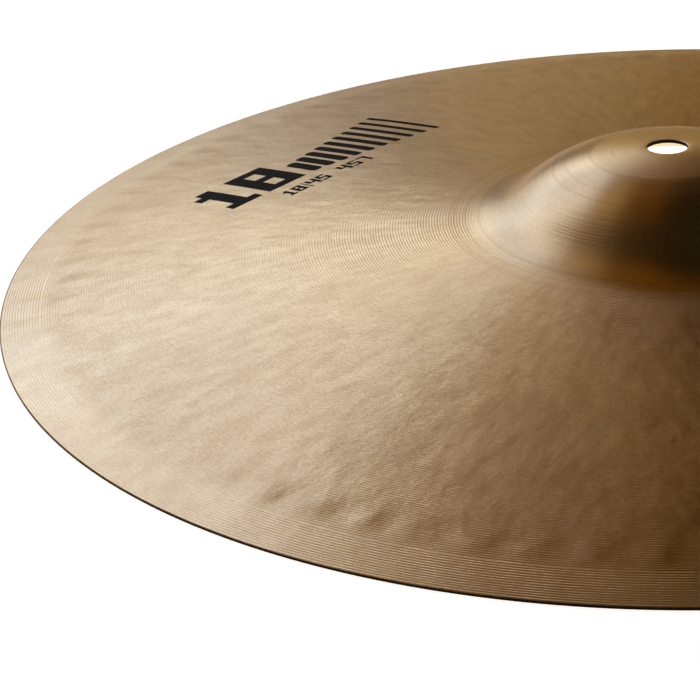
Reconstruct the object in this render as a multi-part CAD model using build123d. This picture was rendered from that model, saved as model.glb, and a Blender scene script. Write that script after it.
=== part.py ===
"""An 18 inch thin crash cymbal: one disc of cast, rolled, hammered and lathed bronze.

The disc is a single piece of metal. From the middle outwards it has a round hole for the stand's rod,
a flatter cap round the hole, the dome and flank of the bell, a hollow foot where the bell turns out
into the bow, and the bow, which falls in one long arc to a thin edge. The wall is thickest in the bell
and thins towards the edge.

The frame: +Z is up along the axis of the disc, and the origin is at the middle of the circle on which
the edge rests. Lengths are in millimetres and angles in degrees. An angle is how steeply the upper
surface falls away from the axis.
"""

from build123d import *
import math
import os

# Across the disc
cymbal_diameter = 457.2  # 18 inches, over the rounded edge
hole_diameter = 13.5
cap_diameter = 51.4  # the flatter top of the bell, as far as the ring that marks its edge
dome_width = 23.0  # measured along the radius, from the cap to the flank
flank_width = 3.8
foot_width = 17.0

# How steeply the upper surface falls
hole_angle = 2.0
cap_edge_angle = 11.0
dome_top_angle = 14.0
flank_angle = 38.0
foot_angle = 3.0  # where the hollow foot of the bell runs out into the bow
bow_top_angle = 2.0
edge_angle = 9.8

# The wall, square to the surface
bell_thickness = 1.3
bow_thickness = 0.9  # half way along the bow
edge_thickness = 0.85

# Broken corners
hole_rounding = 0.3
edge_rounding = 0.2


def rounding_loss(radius, angle):
    """How much a square corner that is tilted by the angle draws back when it is rounded."""
    tilt = math.radians(angle)
    return radius * (math.sin(tilt) + math.cos(tilt) - 1)


def rise(width, outer_angle, inner_angle):
    """Height that an arc or a straight stretch gains over a width along the radius."""
    return width * math.tan(math.radians((outer_angle + inner_angle) / 2))


def half_way_angle(outer_angle, inner_angle):
    """How steep an arc is at the middle of its width."""
    outer_sine = math.sin(math.radians(outer_angle))
    inner_sine = math.sin(math.radians(inner_angle))
    return math.degrees(math.asin((outer_sine + inner_sine) / 2))


def under(point, angle, thickness):
    """The point of the lower surface that lies square below a point of the upper surface."""
    tilt = math.radians(angle)
    radius, height = point
    return (radius - thickness * math.sin(tilt), height - thickness * math.cos(tilt))


# The stretches of the section from the edge inwards:
# inner radius, angles at the outer and inner end, and the wall half way along and at the inner end
cap_radius = cap_diameter / 2
flank_top_radius = cap_radius + dome_width
flank_foot_radius = flank_top_radius + flank_width
bell_foot_radius = flank_foot_radius + foot_width
bore_radius = hole_diameter / 2

STRETCHES = [
    (bell_foot_radius, edge_angle, bow_top_angle, bow_thickness, bell_thickness),
    (flank_foot_radius, foot_angle, flank_angle, bell_thickness, bell_thickness),
    (flank_top_radius, flank_angle, flank_angle, bell_thickness, bell_thickness),
    (cap_radius, flank_angle, dome_top_angle, bell_thickness, bell_thickness),
    (bore_radius, cap_edge_angle, hole_angle, bell_thickness, bell_thickness),
]


def stretch_line(outer, middle, inner, straight):
    """One stretch of a surface in section."""
    return Line(outer, inner) if straight else ThreePointArc(outer, middle, inner)


def section_lines():
    """The closed outline of the wall to one side of the axis, as radius and height."""
    edge_loss = rounding_loss(edge_rounding, edge_angle)
    edge_height = edge_thickness * math.cos(math.radians(edge_angle)) - edge_loss
    upper_point = (cymbal_diameter / 2 + edge_loss, edge_height)
    lower_point = under(upper_point, edge_angle, edge_thickness)
    upper_lines = []
    lower_lines = []
    edge_line = Line(lower_point, upper_point)

    next_angles = [stretch[1] for stretch in STRETCHES[1:]] + [hole_angle]
    for stretch, next_angle in zip(STRETCHES, next_angles):
        inner_radius, outer_angle, inner_angle, middle_wall, inner_wall = stretch
        outer_radius, outer_height = upper_point
        width = outer_radius - inner_radius
        middle_angle = half_way_angle(outer_angle, inner_angle)
        middle = (outer_radius - width / 2, outer_height + rise(width / 2, outer_angle, middle_angle))
        inner = (inner_radius, outer_height + rise(width, outer_angle, inner_angle))

        # The upper surface turns at the ring round the cap and at the ring round the foot of the
        # bell. The lower surface takes the mean of the two angles there.
        meeting_angle = (inner_angle + next_angle) / 2
        if inner_radius == bore_radius:
            inner_below = (bore_radius, inner[1] - inner_wall / math.cos(math.radians(inner_angle)))
        else:
            inner_below = under(inner, meeting_angle, inner_wall)
        middle_below = under(middle, middle_angle, middle_wall)

        straight = outer_angle == inner_angle
        upper_lines.append(stretch_line(upper_point, middle, inner, straight))
        lower_lines.append(stretch_line(lower_point, middle_below, inner_below, straight))
        upper_point, lower_point = inner, inner_below

    bore_line = Line(upper_point, lower_point)
    return [edge_line, *upper_lines, bore_line, *lower_lines]


def cymbal_disc():
    """The whole disc, turned round the axis, with its corners broken at the hole and at the edge."""
    section = Plane.XZ * make_face(section_lines())
    disc = revolve(section, Axis.Z, 360)
    rings = disc.edges().filter_by(GeomType.CIRCLE)
    edge_corners = [ring for ring in rings if ring.radius > cymbal_diameter / 2 - edge_thickness]
    disc = fillet(edge_corners, edge_rounding)
    rings = disc.edges().filter_by(GeomType.CIRCLE)
    hole_corners = [ring for ring in rings if abs(ring.radius - bore_radius) < hole_rounding]
    return fillet(hole_corners, hole_rounding)


os.makedirs("parts", exist_ok=True)
cymbal = cymbal_disc()
export_step(cymbal, "parts/cymbal.step")
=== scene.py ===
"""Looks of a thin crash cymbal: one hammered and lathed bronze disc with a plain size mark in dark ink.

The disc is turned from the same section as the solid. Its coarse grooves, the broad unevenness of hammering
and the rounded edges are real shape. Fine rings, small dents and tool lines are relief in the materials,
and the tool lines are also painted darker as shade. The walls of the edge and the hole and the outermost
rim carry painted shade.
Lengths are in metres and angles in degrees unless a name says otherwise.
"""

import math
import random

import bpy
import numpy as np
from mathutils import Matrix, Quaternion, Vector


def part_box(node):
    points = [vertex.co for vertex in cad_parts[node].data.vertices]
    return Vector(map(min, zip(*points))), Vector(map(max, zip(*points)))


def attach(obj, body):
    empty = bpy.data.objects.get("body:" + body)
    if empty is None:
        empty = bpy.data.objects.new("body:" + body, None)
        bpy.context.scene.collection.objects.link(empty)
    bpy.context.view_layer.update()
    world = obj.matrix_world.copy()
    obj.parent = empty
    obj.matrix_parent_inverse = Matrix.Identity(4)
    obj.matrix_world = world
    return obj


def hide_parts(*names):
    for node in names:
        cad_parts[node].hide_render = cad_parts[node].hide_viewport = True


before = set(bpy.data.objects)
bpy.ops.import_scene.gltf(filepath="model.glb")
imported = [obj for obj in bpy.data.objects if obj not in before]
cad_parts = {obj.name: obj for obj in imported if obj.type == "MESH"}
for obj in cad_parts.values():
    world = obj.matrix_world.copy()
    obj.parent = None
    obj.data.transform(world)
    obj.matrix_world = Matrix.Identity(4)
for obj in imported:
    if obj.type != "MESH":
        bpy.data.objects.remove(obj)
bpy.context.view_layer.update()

MM = 0.001
SAME_POINT = MM / 1000
DISC_LOW, DISC_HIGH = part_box("cymbal")
RIM_RADIUS = (DISC_HIGH.x - DISC_LOW.x) / 2

# Section of the disc
BORE_RADIUS = 6.75 * MM
CAP_RADIUS = 25.7 * MM
FLANK_TOP_RADIUS = 48.7 * MM
FLANK_FOOT_RADIUS = 52.5 * MM
BELL_FOOT_RADIUS = 69.5 * MM
HOLE_ANGLE = 2.0
CAP_EDGE_ANGLE = 11.0
DOME_TOP_ANGLE = 14.0
FLANK_ANGLE = 38.0
FOOT_ANGLE = 3.0
BOW_TOP_ANGLE = 2.0
EDGE_ANGLE = 9.8
BELL_WALL = 1.3 * MM
BOW_WALL = 0.9 * MM
EDGE_WALL = 0.85 * MM
HOLE_ROUNDING = 0.3 * MM
EDGE_ROUNDING = 0.2 * MM
ROUNDING_STEPS = 4
STEEP = 0.75  # a face whose normal has a smaller upright share belongs to the edge or the hole, and is painted in shade
# width of the outermost rim that is painted darker, as shade
RIM_SHADE_WIDTH = 2.2 * EDGE_ROUNDING

# Lathe work
SPOKES = 360
RIM_BAND_WIDTH = 13.6 * MM
BAND_START = RIM_RADIUS - RIM_BAND_WIDTH
RIM_GROOVE_PITCH = 0.97 * MM
RIM_GROOVE_DEPTH = 0.012 * MM
STEPS_IN_GROOVE = 4
FOOT_GROOVES = (63.9 * MM, 69.5 * MM)
FOOT_GROOVE_PITCH = 0.8 * MM
FOOT_GROOVE_DEPTH = 0.014 * MM
TOP_STEP = 2.2 * MM
UNDER_STEP = 4.0 * MM
RING_PITCH = 0.96 * MM
RING_HEIGHT = 0.027 * MM
BAND_RING_HEIGHT = 0.036 * MM
UNDER_RING_PITCH = 1.3 * MM
TURNED_LINES = (25.9 * MM, 34.4 * MM, 38.6 * MM, 64.4 * MM, 68.9 * MM, 72.6 * MM, 74.2 * MM)
LINE_WIDTH = 0.45 * MM
LINE_DEPTH = 0.012 * MM

# Hammering
HAMMERED_FROM = 78.0 * MM
HAMMERED_TO = 212.0 * MM
BLOW_SEED = 18
BLOW_SPACING = 22.0 * MM
BLOW_STRAY_ROUND = 0.45  # how far a blow strays from its even place, in shares of the spacing
BLOW_STRAY_OUT = 0.5
BLOW_RADIUS = (11.0 * MM, 19.0 * MM)
BLOW_DEPTH = (0.015 * MM, 0.06 * MM)
HAMMERED_SHAPE_FROM = 72.0 * MM
HAMMERED_SHAPE_FADE = (8.0 * MM, 10.0 * MM)  # next to the bell, and next to the band along the edge
MARK_SCALE = 85.0
MARK_STRETCH = 0.7
MARK_DEPTH = 0.12 * MM
MARKS_START = (HAMMERED_FROM - 6 * MM, HAMMERED_FROM + 8 * MM)
MARKS_END = (HAMMERED_TO - 4 * MM, HAMMERED_TO + 3 * MM)
MARKS_FIRMER = (90 * MM, 165 * MM)  # over this stretch the dents grow to their full strength
MARKS_SOFTEST = 0.55
ROW_RADIUS = 207.0 * MM
ROW_WIDTH = 5.0 * MM
ROW_COUNT = 80
ROW_DRIFT = 2.5
ROW_FORCE = (2.0, -0.2)  # gain and offset of the unevenness of its blows
ROW_DEPTH = 0.12 * MM

# The printed mark. Its line of print runs square to the direction that leads outwards from the axis.
PRINT_DIRECTION = 143.3
PRINT_LINE = 136.5 * MM
PRINT_START = -75.5 * MM
PRINT_END = 29.0 * MM
NUMERAL_HEIGHT = 25.5 * MM
BAR_COUNT = 10
BAR_WIDTHS = (0.78, 0.38)  # the first and the last, in shares of their spacing
BAR_TOPS = (16.0 * MM, 30.0 * MM)
BAR_FOOT_DROP = 8.0 * MM
BAR_CORNER = 0.35
BAR_CORNER_STEPS = 4
NOTE_START = -57.0 * MM
NOTE_HEIGHT = 6.0 * MM
NOTE_DROP = 11.5 * MM
INK_HEIGHT = 0.03 * MM
INK_DEPTH = 0.02 * MM
PRINT_MESH = 2.0 * MM
PRINT_CLEARANCE = 10.0 * MM  # how far above the disc a figure waits before it is laid down
SAME_PRINT_POINT = MM / 100
# Each numeral as upright blocks: left, right, low and high side, in heights of the numeral
THIN, WIDE, TALL = 0.17, 0.26, 1.0
RIGHT = 0.74
LEFT_BAR = (0.0, WIDE, 0.0, TALL)
RIGHT_BAR = (RIGHT - WIDE, RIGHT, 0.0, TALL)
LOW_BAR = (WIDE, RIGHT - WIDE, 0.0, THIN)
MIDDLE_BAR = (WIDE, RIGHT - WIDE, (TALL - THIN) / 2, (TALL + THIN) / 2)
TOP_BAR = (WIDE, RIGHT - WIDE, TALL - THIN, TALL)
NUMERALS = {
    "1": [
        (0.16, 0.16 + WIDE, 0.0, TALL),
        (0.0, 0.16, 0.68, 0.68 + THIN),
        (0.0, 0.16, 0.0, THIN),
        (0.42, 0.58, 0.0, THIN),
    ],
    "4": [(0.0, WIDE, MIDDLE_BAR[2], TALL), MIDDLE_BAR, RIGHT_BAR],
    "5": [
        (0.0, RIGHT, TALL - THIN, TALL),
        (0.0, WIDE, MIDDLE_BAR[3], TALL - THIN),
        (0.0, RIGHT, MIDDLE_BAR[2], MIDDLE_BAR[3]),
        (RIGHT - WIDE, RIGHT, THIN, MIDDLE_BAR[2]),
        (0.0, RIGHT, 0.0, THIN),
    ],
    "7": [(0.0, RIGHT, TALL - THIN, TALL), (RIGHT - WIDE, RIGHT, 0.0, TALL - THIN)],
    "8": [LEFT_BAR, LOW_BAR, MIDDLE_BAR, TOP_BAR, RIGHT_BAR],
    "/": [(0.1, 0.2, -0.1, 1.1)],
}
NUMERAL_SPACE = 0.14

# Finish of the bronze. Drawn out: how much the gloss is spread square to the rings.
DRAWN_OUT = 0.85
BAND_DRAWN_OUT = 0.75
CAP_DRAWN_OUT = 0.4
# Name, roughness, drawn out, pitch and height of the rings, depth of the tool lines, hammer marks or not
BRONZE_FINISHES = [
    ("bronze_bow", 0.315, DRAWN_OUT, RING_PITCH, RING_HEIGHT, LINE_DEPTH, True),
    ("bronze_cap", 0.33, CAP_DRAWN_OUT, RING_PITCH, RING_HEIGHT, LINE_DEPTH, False),
    ("bronze_band", 0.32, BAND_DRAWN_OUT, RIM_GROOVE_PITCH, BAND_RING_HEIGHT, 0.0, False),
    ("bronze_under", 0.38, DRAWN_OUT, UNDER_RING_PITCH, RING_HEIGHT, 0.0, True),
]
RIM_ROUGHNESS = 0.45
EDGE_ROUGHNESS, EDGE_SPECULAR = 0.6, 0.05
INK_ROUGHNESS, INK_SPECULAR = 0.6, 0.04
BRONZE_BRIGHT = (0.885, 0.745, 0.57)
BRONZE_DULL = (0.70, 0.56, 0.41)
BAND_BRIGHT = (0.93, 0.80, 0.635)
BAND_DULL = (0.80, 0.66, 0.49)
EDGE_TINT = (0.82, 0.62, 0.42)
# How far each texture moves the tone from dull to bright
RING_TONE = 0.2
SCRATCH_TONE = 0.95
PATCH_TONE = 0.9
CLOUD_TONE = 0.4
# Painted shade: the tool lines are darker in tone as well as cut as relief
LINE_SHADE_TONE = -0.6
BAND_TONE_FADE = (BAND_START - 7 * MM, BAND_START + 3 * MM)  # where the paler tone of the band comes in
# How far each texture moves the roughness
CLOUD_ROUGHNESS = 0.05
PATCH_ROUGHNESS = -0.03
SCRATCH_ROUGHNESS = 0.02
SCRATCH_HEIGHT = 0.25  # in shares of the height of the rings
RING_EVENNESS = 0.75  # 1 makes the rings a clean wave, and 0 makes them noise
INK_EVENNESS = 0.45

# Scales of noise that is counted in rings: features for each ring
WANDER_SCALE = 0.11
UNEVEN_SCALE = 0.9
BELL_RING_SCALE = 0.38
SCRATCH_SCALE = 1.1
# Scales of noise in space: features for each metre
RING_PATCH_SCALE = 45
RING_BREAK_SCALE = 520
DRIFT_SCALE = 35
FORCE_SCALE = 22
CLOUD_SCALE = 14
# Scales of noise that is drawn out along the radius or round the disc
SCRATCHES_ROUND = 130.0
DENT_SCALE = 1.15
# Gain and offset of the patches in which the rings are strong, and gain of the breaks in them
RING_PATCHES = (1.6, -0.6)
RING_BREAKS = 2.0
RING_WANDER = 0.5
# What the bell lacks, and the stretch over which it comes back
BELL_RINGS_LOST = 0.8
BELL_RINGS_FADE = (BELL_FOOT_RADIUS - 8 * MM, BELL_FOOT_RADIUS + 2 * MM)
BELL_PATCHES_LEFT = 0.25
BELL_PATCHES_FADE = (BELL_FOOT_RADIUS - 10 * MM, BELL_FOOT_RADIUS + 15 * MM)

# Dark parts, each between two colours: painted shade on the walls of the edge and the hole, painted shade
# in the metal of the outermost rim, and the ink
WALL_SHADE_DARK, WALL_SHADE_PALE = (0.008, 0.005, 0.003), (0.035, 0.019, 0.008)
# Darker metal of the outermost rim: painted shade
RIM_DARK, RIM_BROWN, RIM_PALE = (0.16, 0.09, 0.04), (0.26, 0.16, 0.08), (0.42, 0.29, 0.17)
INK_DARK, INK_PALE = (0.008, 0.005, 0.005), (0.018, 0.012, 0.011)
INK_RELIEF = 0.004 * MM

# Camera
VIEW_DISTANCE = 771.86 * MM
VIEW_ELEVATION = 22.956
PAN = 8.153
TILT = -2.345
ROLL = 0.516
LENS_MM = 114.29
SENSOR_MM = 36.0

# Lamps
LAMP_DISTANCE = 1.6
SOFT_EDGE = (0.9, 1.1)  # each softbox is two lamps of these sizes, so its edge is dimmer than its middle
# Name, azimuth (round +Z from +X), elevation, roll, width and height in metres, and radiance
SOFTBOXES = [
    ("key", 131.7, 25.5, 27.4, 1.39, 1.32, (1.123, 1.360, 1.620)),
    ("warm_surround", 133.8, 35.9, 43.6, 2.1, 2.27, (0.271, 0.098, 0.000)),
    ("low_panel", 127.1, 22.3, 4.1, 1.22, 0.26, (0.809, 1.075, 1.356)),
    ("high_panel", 146.2, 38.4, 19.5, 0.67, 1.58, (0.629, 0.483, 0.202)),
    ("strip", 100.6, 26.9, -1.2, 0.48, 0.15, (2.650, 2.750, 2.450)),
    ("low_strip", 90, 15, 0, 0.5, 0.15, (1.900, 1.350, 0.000)),
    ("fill_left", 205, 11, 0, 1.3, 0.5, (1.600, 1.300, 0.950)),
    ("fill_front_left", 250, 11, 0, 1.3, 0.5, (0.450, 0.300, 0.060)),
    ("fill_front_right", 295, 11, 0, 1.3, 0.5, (0.600, 0.400, 0.080)),
    ("fill_right", 340, 11, 0, 1.3, 0.5, (1.600, 1.300, 0.950)),
    ("fill_far_right", 25, 11, 0, 1.3, 0.5, (0.800, 0.650, 0.480)),
]
WORLD_COLOUR = (0.001, 0.0005, 0.0005)

# Floor
FLOOR_SIZE = 12
FLOOR_GREY = 0.8
FLOOR_ROUGHNESS = 0.9
FLOOR_GLOW = 0.90


def sine(angle):
    return math.sin(math.radians(angle))


def cosine(angle):
    return math.cos(math.radians(angle))


def tangent(angle):
    return math.tan(math.radians(angle))


def between(first, last, share):
    return first + (last - first) * share


# ------------------------------------------------------------------------------------------ camera


def turned(vector, axis, angle):
    return Quaternion(axis, math.radians(angle)) @ vector


def add_camera():
    """Looks at the middle of the disc's foot circle, then is panned, tilted and rolled."""
    place = Vector((0, -cosine(VIEW_ELEVATION), sine(VIEW_ELEVATION))) * VIEW_DISTANCE
    forward = -place.normalized()
    right = Vector((1, 0, 0))
    up = right.cross(forward)
    forward, right = turned(forward, up, PAN), turned(right, up, PAN)
    forward, up = turned(forward, right, TILT), turned(up, right, TILT)
    right, up = turned(right, forward, ROLL), turned(up, forward, ROLL)
    turn = Matrix((right, up, -forward)).transposed()

    data = bpy.data.cameras.new("camera")
    data.lens = LENS_MM
    data.sensor_width = SENSOR_MM
    data.clip_start = 0.01
    camera = bpy.data.objects.new("camera", data)
    camera.matrix_world = Matrix.Translation(place) @ turn.to_4x4()
    bpy.context.scene.collection.objects.link(camera)
    bpy.context.scene.camera = camera


# ------------------------------------------------------------------------------------------ section


def rounding_loss():
    """How much the tilted corners of the edge draw back when they are rounded."""
    return EDGE_ROUNDING * (sine(EDGE_ANGLE) + cosine(EDGE_ANGLE) - 1)


def stretches():
    """Stretches of the upper surface from the edge in: outer and inner radius, outer and inner angle."""
    return [
        (RIM_RADIUS + rounding_loss(), BELL_FOOT_RADIUS, EDGE_ANGLE, BOW_TOP_ANGLE),
        (BELL_FOOT_RADIUS, FLANK_FOOT_RADIUS, FOOT_ANGLE, FLANK_ANGLE),
        (FLANK_FOOT_RADIUS, FLANK_TOP_RADIUS, FLANK_ANGLE, FLANK_ANGLE),
        (FLANK_TOP_RADIUS, CAP_RADIUS, FLANK_ANGLE, DOME_TOP_ANGLE),
        (CAP_RADIUS, BORE_RADIUS, CAP_EDGE_ANGLE, HOLE_ANGLE),
    ]


def upper_surface(radius):
    """Height of the upper surface at a radius, and how steeply it falls there."""
    height = EDGE_WALL * cosine(EDGE_ANGLE) - rounding_loss()
    for outer, inner, outer_angle, inner_angle in stretches():
        reached = max(radius, inner)
        share = (outer - reached) / (outer - inner)
        angle = math.degrees(math.asin(sine(outer_angle) + share * (sine(inner_angle) - sine(outer_angle))))
        height += (outer - reached) * tangent((outer_angle + angle) / 2)
        if radius >= inner:
            break
    return height, angle


def wall(radius):
    """Thickness of the metal, square to the surface: even in the bell, thinner towards the edge."""
    if radius <= BELL_FOOT_RADIUS:
        return BELL_WALL
    share = (radius - BELL_FOOT_RADIUS) / (RIM_RADIUS - BELL_FOOT_RADIUS)
    sag = 2 * (BELL_WALL - 2 * BOW_WALL + EDGE_WALL)
    return BELL_WALL + (EDGE_WALL - BELL_WALL - sag) * share + sag * share**2


def on_section(radius, depth=0.0):
    """A point of the section, that far below the upper surface and square to it."""
    height, angle = upper_surface(radius)
    return Vector((radius - depth * sine(angle), 0, height - depth * cosine(angle)))


def scallop(turns):
    """Runs from 0 to 1 and back in each turn."""
    return 0.5 - 0.5 * math.cos(2 * math.pi * turns)


def groove(radius):
    """How deep the lathe tool went at a radius, where its grooves are coarse enough to be shape."""
    from_edge = RIM_RADIUS - radius
    if EDGE_ROUNDING * 2 < from_edge < RIM_BAND_WIDTH:
        return RIM_GROOVE_DEPTH * scallop(from_edge / RIM_GROOVE_PITCH)
    low, high = FOOT_GROOVES
    if low < radius < high:
        fade = math.sin(math.pi * (radius - low) / (high - low))
        return FOOT_GROOVE_DEPTH * fade * scallop((radius - low) / FOOT_GROOVE_PITCH)
    return 0.0


def even_steps(outer, inner, step):
    count = max(1, round((outer - inner) / step))
    return [outer + (inner - outer) * k / count for k in range(count)]


def upper_radii():
    """Where the upper line has its points: close together where the grooves are coarse."""
    low, high = FOOT_GROOVES
    radii = even_steps(RIM_RADIUS - EDGE_ROUNDING * 2, BAND_START, RIM_GROOVE_PITCH / STEPS_IN_GROOVE)
    radii += even_steps(BAND_START, high, TOP_STEP)
    radii += even_steps(high, low, FOOT_GROOVE_PITCH / STEPS_IN_GROOVE)
    radii += even_steps(low, FLANK_FOOT_RADIUS, TOP_STEP)
    radii += even_steps(FLANK_FOOT_RADIUS, FLANK_TOP_RADIUS, TOP_STEP)
    radii += even_steps(FLANK_TOP_RADIUS, CAP_RADIUS, TOP_STEP)
    radii += even_steps(CAP_RADIUS, BORE_RADIUS + HOLE_ROUNDING, TOP_STEP)
    return radii


def corner(middle, start, finish, radius):
    """Points of a rounded corner about its middle, from one direction to the other."""
    points = []
    for k in range(ROUNDING_STEPS + 1):
        angle = start + (finish - start) * k / ROUNDING_STEPS
        points.append(middle + Vector((cosine(angle), 0, sine(angle))) * radius)
    return points


def section_points():
    """The closed outline of the wall: up the edge, in over the top, down the hole and back below."""
    loss = rounding_loss()
    outwards = Vector((cosine(EDGE_ANGLE), 0, -sine(EDGE_ANGLE)))
    upwards = Vector((sine(EDGE_ANGLE), 0, cosine(EDGE_ANGLE)))
    foot = Vector((RIM_RADIUS + loss, 0, -loss)) - Vector((EDGE_WALL * sine(EDGE_ANGLE), 0, 0))
    shoulder = foot + upwards * EDGE_WALL
    inset = (upwards - outwards) * EDGE_ROUNDING
    sunk = (-upwards - outwards) * EDGE_ROUNDING
    edge = corner(foot + inset, -90 - EDGE_ANGLE, -EDGE_ANGLE, EDGE_ROUNDING)
    edge += corner(shoulder + sunk, -EDGE_ANGLE, 90 - EDGE_ANGLE, EDGE_ROUNDING)

    upper = [on_section(radius, groove(radius)) for radius in upper_radii()]

    top = upper_surface(BORE_RADIUS + HOLE_ROUNDING)[0]
    middle = Vector((BORE_RADIUS + HOLE_ROUNDING, 0, top - HOLE_ROUNDING))
    hole = corner(middle, 90, 180, HOLE_ROUNDING)
    bottom = top - BELL_WALL
    middle = Vector((BORE_RADIUS + HOLE_ROUNDING, 0, bottom + HOLE_ROUNDING))
    hole += corner(middle, 180, 270, HOLE_ROUNDING)

    radii = even_steps(RIM_RADIUS - 2 * EDGE_ROUNDING, BORE_RADIUS + 3 * HOLE_ROUNDING, UNDER_STEP)
    lower = [on_section(radius, wall(radius)) for radius in reversed(radii)]
    return edge + upper + hole + lower


# ------------------------------------------------------------------------------------------ modelling


def deselect_all():
    if bpy.context.mode != "OBJECT":
        bpy.ops.object.mode_set(mode="OBJECT")
    bpy.ops.object.select_all(action="DESELECT")


def make_active(piece):
    deselect_all()
    piece.select_set(True)
    bpy.context.view_layer.objects.active = piece


def rest_at_origin():
    """Moves the active piece's place into its mesh."""
    bpy.ops.object.transform_apply(location=True, rotation=True, scale=True)


def apply_modifier(piece, kind, **settings):
    modifier = piece.modifiers.new(kind.lower(), kind)
    for name, value in settings.items():
        setattr(modifier, name, value)
    bpy.ops.object.modifier_apply(modifier=modifier.name)


def section_line(points):
    """One line of edges: a plane drawn in to a point, which is then extruded from place to place."""
    deselect_all()
    bpy.ops.mesh.primitive_plane_add(size=MM)
    line = bpy.context.object
    bpy.ops.object.mode_set(mode="EDIT")
    bpy.ops.mesh.select_all(action="SELECT")
    bpy.ops.mesh.merge(type="CENTER")
    bpy.ops.transform.translate(value=points[0])
    for here, there in zip(points, points[1:] + points[:1]):
        bpy.ops.mesh.extrude_region_move(TRANSFORM_OT_translate={"value": there - here})
    bpy.ops.mesh.select_all(action="SELECT")
    bpy.ops.mesh.remove_doubles(threshold=SAME_POINT)
    return line


def turn_disc():
    """Turns the section once round the axis into a closed wall."""
    disc = section_line(section_points())
    disc.name = disc.data.name = "cymbal_disc"
    make_active(disc)
    rest_at_origin()
    turns = {"angle": 2 * math.pi, "steps": SPOKES, "render_steps": SPOKES, "axis": "Z"}
    apply_modifier(disc, "SCREW", use_merge_vertices=True, merge_threshold=SAME_POINT, **turns)
    bpy.ops.object.mode_set(mode="EDIT")
    bpy.ops.mesh.select_all(action="SELECT")
    bpy.ops.mesh.remove_doubles(threshold=SAME_POINT)
    bpy.ops.mesh.normals_make_consistent(inside=False)
    bpy.ops.object.mode_set(mode="OBJECT")
    return disc


def places(piece):
    """The mesh's points as an array, one row for each."""
    flat = np.empty(len(piece.data.vertices) * 3)
    piece.data.vertices.foreach_get("co", flat)
    return flat.reshape(-1, 3)


def hammer_blows():
    """Place, radius and depth of each blow: rows of blows round the bow, none of them even."""
    luck = random.Random(BLOW_SEED)
    blows = []
    rows = round((HAMMERED_TO - HAMMERED_FROM) / BLOW_SPACING)
    for row in range(rows + 1):
        row_radius = HAMMERED_FROM + (HAMMERED_TO - HAMMERED_FROM) * row / rows
        count = round(2 * math.pi * row_radius / BLOW_SPACING)
        for k in range(count):
            turn = 2 * math.pi * (k + luck.uniform(-BLOW_STRAY_ROUND, BLOW_STRAY_ROUND)) / count
            radius = row_radius + luck.uniform(-BLOW_STRAY_OUT, BLOW_STRAY_OUT) * BLOW_SPACING
            blows.append((radius, turn, luck.uniform(*BLOW_RADIUS), luck.uniform(*BLOW_DEPTH)))
    return blows


def hammer(disc):
    """Each blow weighs on the points near it, and one displacement drives the weighed points down."""
    across = places(disc)[:, :2]
    depths = np.zeros(len(across))
    for radius, turn, size, depth in hammer_blows():
        middle = np.array((math.cos(turn), math.sin(turn))) * radius
        away = np.clip(((across - middle) ** 2).sum(axis=1) / size**2, 0, 1)
        depths = depths + depth * (1 - away) ** 2
    from_middle = np.hypot(across[:, 0], across[:, 1])
    inner_fade, outer_fade = HAMMERED_SHAPE_FADE
    depths = depths * (
        np.clip((BAND_START - from_middle) / outer_fade, 0, 1)
        * np.clip((from_middle - HAMMERED_SHAPE_FROM) / inner_fade, 0, 1)
    )
    deepest = depths.max()

    group = disc.vertex_groups.new(name="hammered")
    for index in np.nonzero(depths > 0)[0].tolist():
        group.add([index], depths[index] / deepest, "REPLACE")
    make_active(disc)
    apply_modifier(disc, "DISPLACE", direction="Z", mid_level=0, strength=-deepest, vertex_group=group.name)
    disc.vertex_groups.clear()


def add_ring_map(piece):
    """A map that follows the lathe: its first axis runs outwards, its second round the disc."""
    mesh = piece.data
    across = places(piece)
    corners = np.empty(len(mesh.loops), dtype=np.int64)
    mesh.loops.foreach_get("vertex_index", corners)
    faces = np.empty(len(mesh.loops), dtype=np.int64)
    for polygon in mesh.polygons:
        faces[polygon.loop_start : polygon.loop_start + polygon.loop_total] = polygon.index
    centres = np.empty(len(mesh.polygons) * 3)
    mesh.polygons.foreach_get("center", centres)
    centres = centres.reshape(-1, 3)
    turn = np.arctan2(across[corners, 1], across[corners, 0]) / (2 * math.pi)
    middle = np.arctan2(centres[faces, 1], centres[faces, 0]) / (2 * math.pi)
    turn = turn + np.round(middle - turn)
    outwards = np.hypot(across[corners, 0], across[corners, 1]) / RIM_RADIUS
    ring_map = mesh.uv_layers.new(name="rings")
    ring_map.data.foreach_set("uv", np.stack([outwards, turn], axis=1).ravel())


def select_all_points():
    bpy.ops.object.mode_set(mode="EDIT")
    bpy.ops.mesh.select_all(action="SELECT")


def cut_in_squares(low, high, step):
    """Cuts the active flat mesh along even lines both ways, so that it can follow a curved surface."""
    for axis in range(2):
        normal = [float(axis == 0), float(axis == 1), 0.0]
        count = math.ceil((high[axis] - low[axis]) / step)
        for k in range(1, count):
            place = [0.0, 0.0, 0.0]
            place[axis] = low[axis] + (high[axis] - low[axis]) * k / count
            bpy.ops.mesh.select_all(action="SELECT")
            bpy.ops.mesh.bisect(plane_co=place, plane_no=normal)


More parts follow.
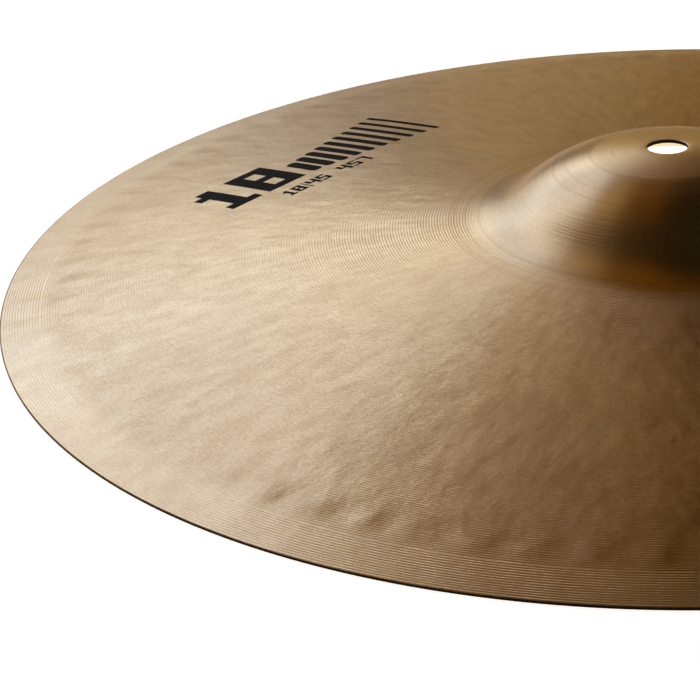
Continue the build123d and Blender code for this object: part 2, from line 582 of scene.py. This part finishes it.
def lay_print(piece, disc, ink):
    """Cuts a flat figure fine, sets it over the bow, and lays it on the metal as a film of ink."""
    make_active(piece)
    flat = places(piece)
    select_all_points()
    bpy.ops.mesh.remove_doubles(threshold=SAME_PRINT_POINT)
    cut_in_squares(flat.min(axis=0), flat.max(axis=0), PRINT_MESH)
    bpy.ops.object.mode_set(mode="OBJECT")
    reading = Vector((sine(PRINT_DIRECTION), -cosine(PRINT_DIRECTION), 0))
    outwards = Vector((cosine(PRINT_DIRECTION), sine(PRINT_DIRECTION), 0))
    turn = Matrix((reading, outwards, Vector((0, 0, 1)))).transposed().to_4x4()
    above = Vector((0, 0, DISC_HIGH.z + PRINT_CLEARANCE))
    piece.matrix_world = Matrix.Translation(outwards * PRINT_LINE + above) @ turn
    rest_at_origin()
    down = {"use_negative_direction": True, "use_positive_direction": False, "use_project_z": True}
    apply_modifier(piece, "SHRINKWRAP", target=disc, wrap_method="PROJECT", offset=INK_HEIGHT, **down)
    apply_modifier(piece, "SOLIDIFY", thickness=INK_HEIGHT + INK_DEPTH, offset=-1, use_even_offset=False)
    piece.data.materials.clear()
    piece.data.materials.append(ink)
    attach(piece, "root")


def plain_block(left, right, low, high):
    """A flat upright rectangle, given by its sides."""
    deselect_all()
    bpy.ops.mesh.primitive_plane_add(size=1, location=((left + right) / 2, (low + high) / 2, 0))
    block = bpy.context.object
    block.scale = (right - left, high - low, 1)
    rest_at_origin()
    return block


def joined(pieces, name):
    deselect_all()
    for piece in pieces:
        piece.select_set(True)
    bpy.context.view_layer.objects.active = pieces[0]
    if len(pieces) > 1:
        bpy.ops.object.join()
    whole = bpy.context.object
    whole.name = whole.data.name = name
    return whole


def plain_numerals(name, figures, start, drop, height):
    """Block numerals side by side, and where they end."""
    blocks = []
    for figure in figures:
        if figure == " ":
            start += height
            continue
        for left, right, low, high in NUMERALS[figure]:
            sides = (start + left * height, start + right * height)
            blocks.append(plain_block(*sides, low * height - drop, high * height - drop))
        widest = max(block[1] for block in NUMERALS[figure])
        start += (widest + NUMERAL_SPACE) * height
    return joined(blocks, name), start


def printed_bars(start, finish):
    """A row of upright bars that grow taller and slimmer, as a swell of sound."""
    pitch = (finish - start) / BAR_COUNT
    bars = []
    for k in range(BAR_COUNT):
        share = k / (BAR_COUNT - 1)
        width = pitch * between(*BAR_WIDTHS, share)
        low, high = -BAR_FOOT_DROP * share, between(*BAR_TOPS, share)
        middle = start + pitch * (k + 0.5)
        bar = plain_block(middle - width / 2, middle + width / 2, low, high)
        select_all_points()
        bpy.ops.mesh.bevel(offset=width * BAR_CORNER, segments=BAR_CORNER_STEPS, affect="VERTICES")
        bpy.ops.object.mode_set(mode="OBJECT")
        bars.append(bar)
    return joined(bars, "size_bars")


# ------------------------------------------------------------------------------------------ materials


def new_material(name):
    material = bpy.data.materials.new(name)
    material.use_nodes = True
    tree = material.node_tree
    shader = next(node for node in tree.nodes if node.type == "BSDF_PRINCIPLED")
    return material, tree, shader


def add_node(tree, kind, **settings):
    made = tree.nodes.new(kind)
    for name, value in settings.items():
        setattr(made, name, value)
    return made


def feed(tree, socket, value):
    """Links a socket to another one, or sets it to a plain value."""
    if isinstance(value, bpy.types.NodeSocket):
        tree.links.new(value, socket)
    elif value is not None:
        socket.default_value = value


def math_node(tree, operation, *values):
    made = add_node(tree, "ShaderNodeMath", operation=operation)
    for socket, value in zip(made.inputs, values):
        feed(tree, socket, value)
    return made.outputs[0]


def distance_from_axis(tree):
    """How far a point is from the disc's axis, in metres."""
    coordinates = add_node(tree, "ShaderNodeTexCoord")
    split = add_node(tree, "ShaderNodeSeparateXYZ")
    feed(tree, split.inputs[0], coordinates.outputs["Object"])
    flat = add_node(tree, "ShaderNodeCombineXYZ")
    feed(tree, flat.inputs[0], split.outputs[0])
    feed(tree, flat.inputs[1], split.outputs[1])
    length = add_node(tree, "ShaderNodeVectorMath", operation="LENGTH")
    feed(tree, length.inputs[0], flat.outputs[0])
    return length.outputs["Value"]


def new_group(name, inputs, outputs):
    """A node group with number inputs, which hold the given values, and outputs: numbers, and Color."""
    group = bpy.data.node_groups.new(name, "ShaderNodeTree")
    for label, value in inputs.items():
        socket = group.interface.new_socket(name=label, in_out="INPUT", socket_type="NodeSocketFloat")
        socket.default_value = value
    for label in outputs:
        kind = "NodeSocketColor" if label == "Color" else "NodeSocketFloat"
        group.interface.new_socket(name=label, in_out="OUTPUT", socket_type=kind)
    return group, add_node(group, "NodeGroupInput"), add_node(group, "NodeGroupOutput")


def place_group(tree, group, **values):
    made = add_node(tree, "ShaderNodeGroup", node_tree=group)
    for label, value in values.items():
        feed(tree, made.inputs[label.replace("_", " ")], value)
    return made


def noise(tree, dimensions, place, scale, detail, roughness=0.5):
    made = add_node(tree, "ShaderNodeTexNoise", noise_dimensions=dimensions)
    feed(tree, made.inputs["W" if dimensions == "1D" else "Vector"], place)
    made.inputs["Scale"].default_value = scale
    made.inputs["Detail"].default_value = detail
    made.inputs["Roughness"].default_value = roughness
    return made.outputs["Fac"]


def centred(tree, value):
    """Moves a value that runs from 0 to 1 to run from -1 to 1."""
    return math_node(tree, "MULTIPLY_ADD", value, 2.0, -1.0)


def outwards_direction(tree):
    """The direction away from the disc's axis, level and of length 1."""
    coordinates = add_node(tree, "ShaderNodeTexCoord")
    split = add_node(tree, "ShaderNodeSeparateXYZ")
    feed(tree, split.inputs[0], coordinates.outputs["Object"])
    flat = add_node(tree, "ShaderNodeCombineXYZ")
    feed(tree, flat.inputs[0], split.outputs[0])
    feed(tree, flat.inputs[1], split.outputs[1])
    outwards = add_node(tree, "ShaderNodeVectorMath", operation="NORMALIZE")
    feed(tree, outwards.inputs[0], flat.outputs[0])
    return outwards.outputs[0]


def scaled(tree, vector, factor):
    made = add_node(tree, "ShaderNodeVectorMath", operation="SCALE")
    feed(tree, made.inputs[0], vector)
    feed(tree, made.inputs["Scale"], factor)
    return made.outputs[0]


def lifted(tree, vector, rise):
    """A vector moved along the third axis."""
    upwards = add_node(tree, "ShaderNodeCombineXYZ")
    feed(tree, upwards.inputs[2], rise)
    made = add_node(tree, "ShaderNodeVectorMath", operation="ADD")
    feed(tree, made.inputs[0], vector)
    feed(tree, made.inputs[1], upwards.outputs[0])
    return made.outputs[0]


def swell(tree, value, middle, width):
    """1 where a value is at the middle, falling to 0 to both sides of it."""
    away = math_node(tree, "MULTIPLY_ADD", value, 1 / width, -middle / width)
    square = math_node(tree, "MULTIPLY", away, away)
    return math_node(tree, "EXPONENT", math_node(tree, "MULTIPLY", square, -1.0))


def ramp(tree, value, low, high):
    """Rises smoothly from 0 to 1 between two values."""
    made = add_node(tree, "ShaderNodeMapRange", interpolation_type="SMOOTHSTEP")
    feed(tree, made.inputs["Value"], value)
    made.inputs["From Min"].default_value = low
    made.inputs["From Max"].default_value = high
    return made.outputs[0]


def lathe_group():
    """Rings cut by the lathe: nearly even lines that wander in depth, with finer scratches between them."""
    sockets = {"Pitch": RING_PITCH, "Evenness": 0.5, "Seed": 0.0}
    group, given, given_out = new_group("lathe_rings", sockets, ("Ring", "Scratch", "Line"))
    radius = distance_from_axis(group)
    turns = math_node(group, "DIVIDE", radius, given.outputs["Pitch"])
    turns = math_node(group, "ADD", turns, given.outputs["Seed"])

    wander = noise(group, "1D", turns, WANDER_SCALE, 2)
    shifted = math_node(group, "MULTIPLY_ADD", wander, RING_WANDER, turns)
    wave = math_node(group, "SINE", math_node(group, "MULTIPLY", shifted, 2 * math.pi))
    uneven = centred(group, noise(group, "1D", turns, UNEVEN_SCALE, 2))
    loose = math_node(group, "SUBTRACT", 1.0, given.outputs["Evenness"])
    ring = math_node(group, "MULTIPLY", wave, given.outputs["Evenness"])
    ring = math_node(group, "MULTIPLY_ADD", uneven, loose, ring)

    # The bell has weaker rings, with coarse ones among them
    outside = ramp(group, radius, *BELL_RINGS_FADE)
    inner = math_node(group, "SUBTRACT", 1.0, outside)
    coarse = centred(group, noise(group, "1D", turns, BELL_RING_SCALE, 3, 0.65))
    coarse = math_node(group, "MULTIPLY", coarse, inner)
    left = math_node(group, "MULTIPLY_ADD", inner, -BELL_RINGS_LOST, 1.0)
    ring = math_node(group, "ADD", coarse, math_node(group, "MULTIPLY", ring, left))

    coordinates = add_node(group, "ShaderNodeTexCoord")
    patch = noise(group, "3D", coordinates.outputs["Object"], RING_PATCH_SCALE, 2)
    patch = math_node(group, "MULTIPLY_ADD", patch, *RING_PATCHES)
    broken = noise(group, "3D", coordinates.outputs["Object"], RING_BREAK_SCALE, 1)
    patch = math_node(group, "MULTIPLY_ADD", broken, RING_BREAKS, patch)
    feed(group, given_out.inputs["Ring"], math_node(group, "MULTIPLY", ring, patch))

    around = scaled(group, outwards_direction(group), SCRATCHES_ROUND)
    steps = math_node(group, "MULTIPLY", turns, SCRATCH_SCALE)
    scratch = noise(group, "3D", lifted(group, around, steps), 1.0, 1.5, 0.6)
    feed(group, given_out.inputs["Scratch"], centred(group, scratch))

    lines = None
    for place in TURNED_LINES:
        line = swell(group, radius, place, LINE_WIDTH)
        lines = line if lines is None else math_node(group, "ADD", lines, line)
    feed(group, given_out.inputs["Line"], lines)
    return group


def marks_group():
    """Small dents of the hammer, drawn out along the radius, and a row of firm blows next to the band."""
    sockets = {"Depth": MARK_DEPTH, "Row Depth": ROW_DEPTH}
    group, given, given_out = new_group("hammer_marks", sockets, ("Height",))
    radius = distance_from_axis(group)
    direction = outwards_direction(group)
    reach = math_node(group, "MULTIPLY", math_node(group, "POWER", radius, MARK_STRETCH), MARK_SCALE)
    dent = noise(group, "2D", scaled(group, direction, reach), DENT_SCALE, 2.5, 0.5)
    firmer = ramp(group, radius, *MARKS_FIRMER)
    firmer = math_node(group, "MULTIPLY_ADD", firmer, 1 - MARKS_SOFTEST, MARKS_SOFTEST)
    dent = math_node(group, "MULTIPLY", dent, firmer)
    inside = math_node(group, "SUBTRACT", 1.0, ramp(group, radius, *MARKS_END))
    inside = math_node(group, "MULTIPLY", inside, ramp(group, radius, *MARKS_START))
    height = math_node(group, "MULTIPLY", dent, inside)
    height = math_node(group, "MULTIPLY", height, given.outputs["Depth"])

    split = add_node(group, "ShaderNodeSeparateXYZ")
    feed(group, split.inputs[0], direction)
    angle = math_node(group, "ARCTAN2", split.outputs[1], split.outputs[0])
    coordinates = add_node(group, "ShaderNodeTexCoord")
    drift = noise(group, "3D", coordinates.outputs["Object"], DRIFT_SCALE, 1)
    blows = math_node(group, "MULTIPLY", angle, ROW_COUNT)
    wave = math_node(group, "COSINE", math_node(group, "MULTIPLY_ADD", drift, ROW_DRIFT, blows))
    force = noise(group, "3D", coordinates.outputs["Object"], FORCE_SCALE, 1)
    force = math_node(group, "MULTIPLY_ADD", force, *ROW_FORCE)
    row = math_node(group, "MULTIPLY", wave, force)
    row = math_node(group, "MULTIPLY", row, swell(group, radius, ROW_RADIUS, ROW_WIDTH))
    height = math_node(group, "MULTIPLY_ADD", row, given.outputs["Row Depth"], height)
    feed(group, given_out.inputs["Height"], height)
    return group


def streak_group():
    """Soft patches drawn out along the radius, as worn and hammered metal shows under its rings."""
    sockets = {"Round": 30.0, "Outwards": 80.0, "Seed": 0.0}
    group, given, given_out = new_group("radial_patches", sockets, ("Patch", "Cloud"))
    radius = distance_from_axis(group)
    wide = scaled(group, outwards_direction(group), given.outputs["Round"])
    steps = math_node(group, "MULTIPLY_ADD", radius, given.outputs["Outwards"], given.outputs["Seed"])
    patch = centred(group, noise(group, "3D", lifted(group, wide, steps), 1.0, 3, 0.55))
    left = ramp(group, radius, *BELL_PATCHES_FADE)
    left = math_node(group, "MULTIPLY_ADD", left, 1 - BELL_PATCHES_LEFT, BELL_PATCHES_LEFT)
    feed(group, given_out.inputs["Patch"], math_node(group, "MULTIPLY", patch, left))

    coordinates = add_node(group, "ShaderNodeTexCoord")
    cloud = noise(group, "3D", coordinates.outputs["Object"], CLOUD_SCALE, 3, 0.5)
    feed(group, given_out.inputs["Cloud"], centred(group, cloud))
    return group


def mixed(tree, share, first, second):
    """A colour between two, by a share from 0 to 1."""
    made = add_node(tree, "ShaderNodeMix", data_type="RGBA", clamp_factor=True)
    feed(tree, made.inputs[0], share)
    feed(tree, made.inputs[6], first)
    feed(tree, made.inputs[7], second)
    return made.outputs[2]


def tone_group():
    """The colour of the bronze for a share from dull to bright, paler in the band along the edge."""
    group, given, given_out = new_group("bronze_tone", {"Share": 0.5}, ("Color",))
    radius = distance_from_axis(group)
    inwards = mixed(group, given.outputs["Share"], (*BRONZE_DULL, 1), (*BRONZE_BRIGHT, 1))
    in_band = mixed(group, given.outputs["Share"], (*BAND_DULL, 1), (*BAND_BRIGHT, 1))
    blend = ramp(group, radius, *BAND_TONE_FADE)
    feed(group, given_out.inputs["Color"], mixed(group, blend, inwards, in_band))
    return group


def bumped(tree, height):
    """The normal of a surface raised by a height in metres."""
    made = add_node(tree, "ShaderNodeBump")
    made.inputs["Strength"].default_value = 1.0
    made.inputs["Distance"].default_value = 1.0
    feed(tree, made.inputs["Height"], height)
    return made.outputs[0]


def turned_shader(name, colour, roughness, drawn_out):
    """A metal whose gloss is drawn out square to the lathe's rings."""
    material, tree, shader = new_material(name)
    shader.inputs["Metallic"].default_value = 1.0
    shader.inputs["Base Color"].default_value = (*colour, 1)
    shader.inputs["Roughness"].default_value = roughness
    shader.inputs["Anisotropic"].default_value = drawn_out
    shader.inputs["Specular Tint"].default_value = (*EDGE_TINT, 1)
    direction = add_node(tree, "ShaderNodeTangent", direction_type="UV_MAP", uv_map="rings")
    feed(tree, shader.inputs["Tangent"], direction.outputs[0])
    return material, tree, shader


def bronze_material(groups, name, roughness, drawn_out, pitch, ring_height, line_depth, marked):
    """Turned bronze: a tone and a relief of rings, with or without the marks of the hammer."""
    material, tree, shader = turned_shader(name, BRONZE_BRIGHT, roughness, drawn_out)
    rings = place_group(tree, groups["lathe"], Pitch=pitch, Evenness=RING_EVENNESS)
    patches = place_group(tree, groups["streaks"])

    share = math_node(tree, "MULTIPLY_ADD", rings.outputs["Ring"], RING_TONE, 0.5)
    share = math_node(tree, "MULTIPLY_ADD", rings.outputs["Scratch"], SCRATCH_TONE, share)
    share = math_node(tree, "MULTIPLY_ADD", patches.outputs["Patch"], PATCH_TONE, share)
    share = math_node(tree, "MULTIPLY_ADD", patches.outputs["Cloud"], CLOUD_TONE, share)
    # Painted shade in the grooves of the tool lines
    share = math_node(tree, "MULTIPLY_ADD", rings.outputs["Line"], LINE_SHADE_TONE, share)
    tone = place_group(tree, groups["tone"])
    feed(tree, tone.inputs["Share"], share)
    feed(tree, shader.inputs["Base Color"], tone.outputs["Color"])

    rough = math_node(tree, "MULTIPLY_ADD", patches.outputs["Cloud"], CLOUD_ROUGHNESS, roughness)
    rough = math_node(tree, "MULTIPLY_ADD", patches.outputs["Patch"], PATCH_ROUGHNESS, rough)
    rough = math_node(tree, "MULTIPLY_ADD", rings.outputs["Scratch"], SCRATCH_ROUGHNESS, rough)
    feed(tree, shader.inputs["Roughness"], rough)

    relief = math_node(tree, "MULTIPLY", rings.outputs["Ring"], ring_height)
    relief = math_node(tree, "MULTIPLY_ADD", rings.outputs["Scratch"], ring_height * SCRATCH_HEIGHT, relief)
    if line_depth:
        relief = math_node(tree, "MULTIPLY_ADD", rings.outputs["Line"], -line_depth, relief)
    if marked:
        relief = math_node(tree, "ADD", relief, place_group(tree, groups["marks"]).outputs["Height"])
    feed(tree, shader.inputs["Normal"], bumped(tree, relief))
    return material


def wall_shade_material(groups):
    """Painted shade: the steep walls of the edge and the hole get a near-black matte colour in place of
    their shade and the dark they reflect.
    """
    material, tree, shader = new_material("painted_shade_walls")
    shader.inputs["Metallic"].default_value = 0.0
    patches = place_group(tree, groups["streaks"], Round=60.0)
    share = math_node(tree, "MULTIPLY_ADD", patches.outputs["Patch"], 0.8, 0.4)
    feed(tree, shader.inputs["Base Color"], mixed(tree, share, (*WALL_SHADE_DARK, 1), (*WALL_SHADE_PALE, 1)))
    shader.inputs["Roughness"].default_value = EDGE_ROUGHNESS
    shader.inputs["Specular IOR Level"].default_value = EDGE_SPECULAR
    return material


def rim_shade_material(groups):
    """The outermost edge of the top, in darker brown metal: painted shade along the edge."""
    material, tree, shader = turned_shader("painted_shade_rim", RIM_BROWN, RIM_ROUGHNESS, CAP_DRAWN_OUT)
    patches = place_group(tree, groups["streaks"], Round=90.0)
    share = math_node(tree, "MULTIPLY_ADD", patches.outputs["Patch"], 0.9, 0.5)
    feed(tree, shader.inputs["Base Color"], mixed(tree, share, (*RIM_DARK, 1), (*RIM_PALE, 1)))
    return material


def ink_material(groups):
    """Screen-printed ink, thin enough to show the rings beneath it."""
    material, tree, shader = new_material("screen_ink")
    rings = place_group(tree, groups["lathe"], Evenness=INK_EVENNESS)
    patches = place_group(tree, groups["streaks"], Round=80.0, Outwards=300.0)
    share = math_node(tree, "MULTIPLY_ADD", patches.outputs["Patch"], 0.7, 0.5)
    share = math_node(tree, "MULTIPLY_ADD", rings.outputs["Ring"], 0.3, share)
    feed(tree, shader.inputs["Base Color"], mixed(tree, share, (*INK_DARK, 1), (*INK_PALE, 1)))
    shader.inputs["Roughness"].default_value = INK_ROUGHNESS
    shader.inputs["Specular IOR Level"].default_value = INK_SPECULAR
    relief = math_node(tree, "MULTIPLY", rings.outputs["Ring"], INK_RELIEF)
    feed(tree, shader.inputs["Normal"], bumped(tree, relief))
    return material


def plain_floor_material():
    material, tree, shader = new_material("pale_floor")
    shader.inputs["Base Color"].default_value = (FLOOR_GREY, FLOOR_GREY, FLOOR_GREY, 1)
    shader.inputs["Roughness"].default_value = FLOOR_ROUGHNESS
    output = next(node for node in tree.nodes if node.type == "OUTPUT_MATERIAL")
    glow = add_node(tree, "ShaderNodeEmission")
    glow.inputs["Color"].default_value = (1, 1, 1, 1)
    rays = add_node(tree, "ShaderNodeLightPath")
    seen = math_node(tree, "MAXIMUM", rays.outputs["Is Camera Ray"], rays.outputs["Is Glossy Ray"])
    seen = math_node(tree, "MAXIMUM", seen, rays.outputs["Is Transmission Ray"])
    feed(tree, glow.inputs["Strength"], math_node(tree, "MULTIPLY", seen, FLOOR_GLOW))
    both = add_node(tree, "ShaderNodeAddShader")
    feed(tree, both.inputs[0], shader.outputs[0])
    feed(tree, both.inputs[1], glow.outputs[0])
    feed(tree, output.inputs[0], both.outputs[0])
    return material


def add_floor():
    deselect_all()
    bpy.ops.mesh.primitive_plane_add(size=FLOOR_SIZE)
    floor = bpy.context.object
    floor.name = "floor"
    floor.data.materials.append(plain_floor_material())


def add_softbox(name, azimuth, elevation, roll, width, height, glow):
    """A rectangular lamp that faces the disc, with the given radiance."""
    level_share = cosine(elevation)
    towards = Vector((cosine(azimuth) * level_share, sine(azimuth) * level_share, sine(elevation)))
    level = Vector((-sine(azimuth), cosine(azimuth), 0))
    along = turned(level, towards, roll)
    across = towards.cross(along)
    brightest = max(glow)

    turn = Matrix((along, across, towards)).transposed()
    for layer, share in enumerate(SOFT_EDGE):
        data = bpy.data.lights.new(f"{name}_{layer + 1}", "AREA")
        data.shape = "RECTANGLE"
        data.size = width * share
        data.size_y = height * share
        data.energy = math.pi * data.size * data.size_y * brightest / len(SOFT_EDGE)
        data.color = [channel / brightest for channel in glow]
        lamp = bpy.data.objects.new(data.name, data)
        lamp.matrix_world = Matrix.Translation(towards * LAMP_DISTANCE) @ turn.to_4x4()
        bpy.context.scene.collection.objects.link(lamp)


def add_world():
    world = bpy.data.worlds.new("studio")
    bpy.context.scene.world = world
    world.use_nodes = True
    background = next(node for node in world.node_tree.nodes if node.type == "BACKGROUND")
    background.inputs["Color"].default_value = (*WORLD_COLOUR, 1)


# ------------------------------------------------------------------------------------------ the whole


def paint_disc(disc, groups):
    """Bronze, with a finish for each part of the top and for the underside, and painted shade on the walls
    of the edge and the hole and in the darker metal of the outermost rim.
    """
    finishes = [bronze_material(groups, *finish) for finish in BRONZE_FINISHES]
    finishes += [wall_shade_material(groups), rim_shade_material(groups)]
    bow, cap, band, under, edge, rim = range(len(finishes))
    for finish in finishes:
        disc.data.materials.append(finish)
    for polygon in disc.data.polygons:
        from_axis = math.hypot(polygon.center.x, polygon.center.y)
        # The steep walls of the edge and the hole get painted shade
        if abs(polygon.normal.z) < STEEP:
            polygon.material_index = edge
        elif polygon.normal.z < 0:
            polygon.material_index = under
        # The outermost rim gets darker metal as painted shade
        elif from_axis > RIM_RADIUS - RIM_SHADE_WIDTH:
            polygon.material_index = rim
        elif from_axis < CAP_RADIUS:
            polygon.material_index = cap
        else:
            polygon.material_index = band if from_axis > BAND_START else bow


def build_disc(groups):
    disc = turn_disc()
    hammer(disc)
    add_ring_map(disc)
    make_active(disc)
    bpy.ops.object.shade_smooth()
    paint_disc(disc, groups)
    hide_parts("cymbal")
    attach(disc, "root")
    return disc


def build_print(disc, groups):
    ink = ink_material(groups)
    numerals, end = plain_numerals("size_numerals", "18", PRINT_START, 0, NUMERAL_HEIGHT)
    lay_print(numerals, disc, ink)
    lay_print(printed_bars(end, PRINT_END), disc, ink)
    note, end = plain_numerals("size_note", "18/45 457", NOTE_START, NOTE_DROP, NOTE_HEIGHT)
    lay_print(note, disc, ink)


add_camera()
shared_groups = {
    "lathe": lathe_group(),
    "streaks": streak_group(),
    "marks": marks_group(),
    "tone": tone_group(),
}
cymbal_disc = build_disc(shared_groups)
build_print(cymbal_disc, shared_groups)
add_floor()
add_world()
for softbox in SOFTBOXES:
    add_softbox(*softbox)
bpy.context.scene.view_settings.view_transform = "Standard"
